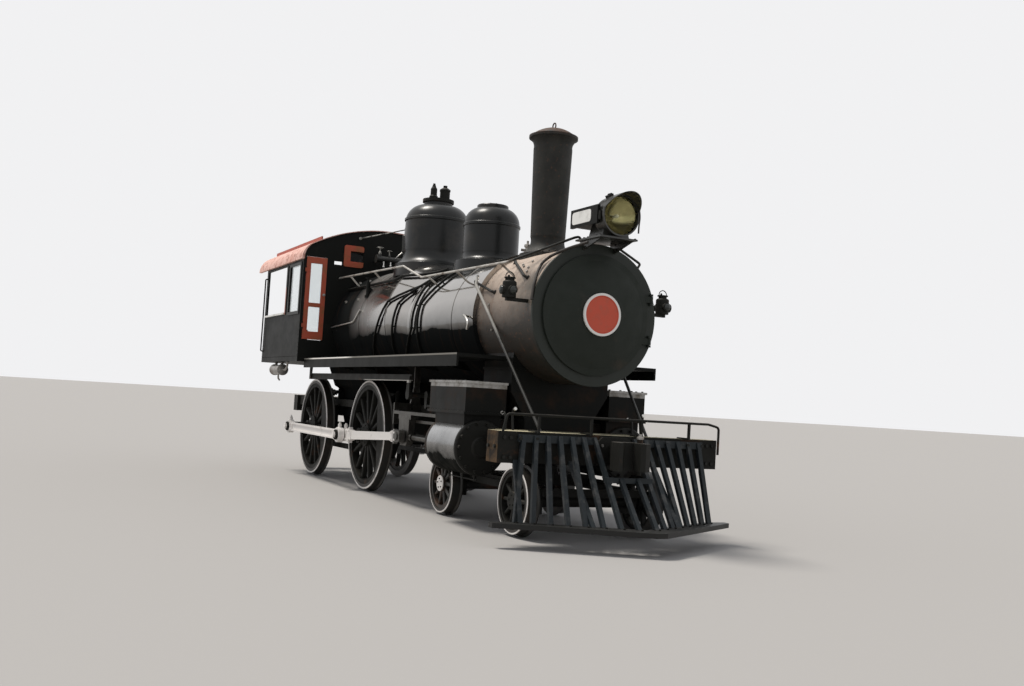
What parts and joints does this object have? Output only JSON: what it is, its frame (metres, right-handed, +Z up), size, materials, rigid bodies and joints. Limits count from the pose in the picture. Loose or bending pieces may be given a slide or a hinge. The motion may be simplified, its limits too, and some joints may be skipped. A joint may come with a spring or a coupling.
{
  "type": "steam locomotive",
  "caption": "Steam locomotive with a tall straight stack, two domes, open-backed cab, spoked drivers with side rods, leading truck, slatted pilot and headlight.",
  "frame": {"origin": "bottom centre of the bounding box, level with the lowest wheel flange tips, 28 mm under the rail top", "axes": "+X forward along the engine, +Y to its left, +Z up"},
  "size_m": [10.83, 2.884, 4.7039],
  "materials": {
    "black_gloss": "gloss black paint, weathered",
    "black_satin": "satin black paint",
    "smokebox_grey": "flat graphite paint, faded and rust specked",
    "wheel_black": "black paint",
    "tyre_white": "white painted rim on steel",
    "rod_white": "off-white paint",
    "steel": "bare steel",
    "iron": "dark cast iron",
    "red_paint": "weathered red paint",
    "roof_red": "faded red paint",
    "plate_red": "red with a white ring, blank",
    "glass": "clear",
    "board_white": "white panel in a black case",
    "pilot_paint": "dark blue-grey paint",
    "beam_wood": "painted timber"
  },
  "bodies": {
    "engine": {"backhead_fittings": "iron", "boiler": "black_gloss", "boiler_pipes": "black_satin", "buffer_beam": "beam_wood", "cab_body": "black_satin", "cab_floor": "black_satin", "cab_glass": "glass", "cab_roof": "roof_red", "cab_window_frames": "red_paint", "coupler": "iron", "crossheads": "iron", "cylinder_block": "black_satin", "cylinder_heads": "black_satin", "cylinder_jackets": "black_gloss", "driver_springs_and_boxes": "iron", "front_deck": "black_satin", "guide_bars": "steel", "handrails": "steel", "headlight_body": "black_satin", "headlight_glass": "glass", "main_frame": "black_satin", "marker_lamps": "iron", "number_boards": "board_white", "pilot": "pilot_paint", "running_boards": "black_satin", "safety_valves": "iron", "sand_dome": "black_gloss", "smokebox": "smokebox_grey", "smokebox_braces": "black_satin", "stack": "smokebox_grey", "steam_dome": "black_gloss", "turret": "steel", "uncoupling_rod": "iron", "valve_gear": "iron"},
    "front_drivers": {"front_driver_wheels": "wheel_black", "front_driver_tyres": "tyre_white"},
    "rear_drivers": {"rear_driver_wheels": "wheel_black", "rear_driver_tyres": "tyre_white"},
    "left_rods": {"rods_left": "rod_white"},
    "right_rods": {"rods_right": "rod_white"},
    "truck": {"truck_frame": "black_satin"},
    "truck_front_axle": {"truck_front_wheels": "wheel_black", "truck_front_tyres": "tyre_white"},
    "truck_rear_axle": {"truck_rear_wheels": "wheel_black", "truck_rear_tyres": "tyre_white"},
    "front_door": {"smokebox_door": "black_satin", "number_plate": "plate_red"},
    "left_cab_door": {"cab_door_left": "red_paint"},
    "right_cab_door": {"cab_door_right": "red_paint"}
  },
  "joints": [
    {"name": "front_driver_spin", "type": "hinge", "parent": "engine", "child": "front_drivers", "pos_m": [-0.775, 0, 0.801], "axis": [0, 1, 0], "continuous": true},
    {"name": "rear_driver_spin", "type": "hinge", "parent": "engine", "child": "rear_drivers", "pos_m": [-3.443, 0, 0.801], "axis": [0, 1, 0], "continuous": true},
    {"name": "left_rod_turn", "type": "hinge", "parent": "front_drivers", "child": "left_rods", "pos_m": [-0.74312, 1.07, 0.49767], "axis": [0, 1, 0], "continuous": true},
    {"name": "right_rod_turn", "type": "hinge", "parent": "front_drivers", "child": "right_rods", "pos_m": [-1.07833, -1.07, 0.76912], "axis": [0, 1, 0], "continuous": true},
    {"name": "truck_swivel", "type": "hinge", "parent": "engine", "child": "truck", "pos_m": [2.965, 0, 0.5], "axis": [0, 0, 1], "range_deg": [-4, 4]},
    {"name": "truck_front_spin", "type": "hinge", "parent": "truck", "child": "truck_front_axle", "pos_m": [3.906, 0, 0.373], "axis": [0, 1, 0], "continuous": true},
    {"name": "truck_rear_spin", "type": "hinge", "parent": "truck", "child": "truck_rear_axle", "pos_m": [2.025, 0, 0.373], "axis": [0, 1, 0], "continuous": true},
    {"name": "smokebox_door_hinge", "type": "hinge", "parent": "engine", "child": "front_door", "pos_m": [4.003, 0.692, 2.361], "axis": [0, 0, 1], "range_deg": [0, 95]},
    {"name": "left_cab_door_hinge", "type": "hinge", "parent": "engine", "child": "left_cab_door", "pos_m": [-2.606, 1.36, 2.85], "axis": [0, 0, 1], "range_deg": [0, 90]},
    {"name": "right_cab_door_hinge", "type": "hinge", "parent": "engine", "child": "right_cab_door", "pos_m": [-2.606, -1.36, 2.85], "axis": [0, 0, -1], "range_deg": [0, 90]}
  ],
  "couplings": [
    {"joint": "rear_driver_spin", "follows": "front_driver_spin", "ratio": 1},
    {"joint": "left_rod_turn", "follows": "front_driver_spin", "ratio": -1},
    {"joint": "right_rod_turn", "follows": "front_driver_spin", "ratio": -1}
  ]
}
